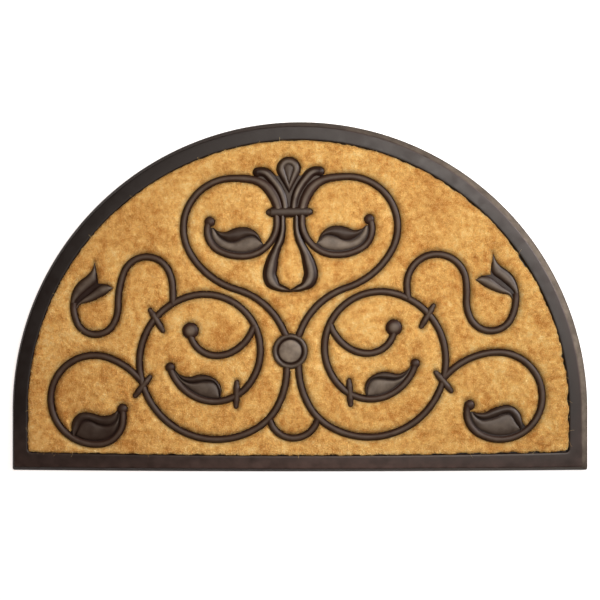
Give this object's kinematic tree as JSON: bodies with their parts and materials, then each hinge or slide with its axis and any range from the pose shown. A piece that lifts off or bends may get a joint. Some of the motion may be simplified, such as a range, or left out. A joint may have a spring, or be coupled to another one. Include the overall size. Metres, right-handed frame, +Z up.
{
  "type": "half-round coir doormat",
  "caption": "Half-round doormat: a dark rubber moulding with a raised border and scroll bars, and blond coir pile in its recesses.",
  "frame": {"origin": "middle of the underside, below the middle of the outline's box", "axes": "+X along the straight edge, to the right as one looks at the mat from that edge; +Y away from the straight edge, towards the top of the arc; +Z up"},
  "size_m": [0.762, 0.463, 0.0125],
  "materials": {
    "rubber": "moulded, satin, slightly dusty",
    "coir": "cut coconut fibre pile, matt"
  },
  "bodies": {
    "root": {"rubber_moulding": "rubber", "coir_field": "coir", "coir_heart": "coir", "coir_drop": "coir", "coir_eye": "coir"}
  },
  "joints": []
}
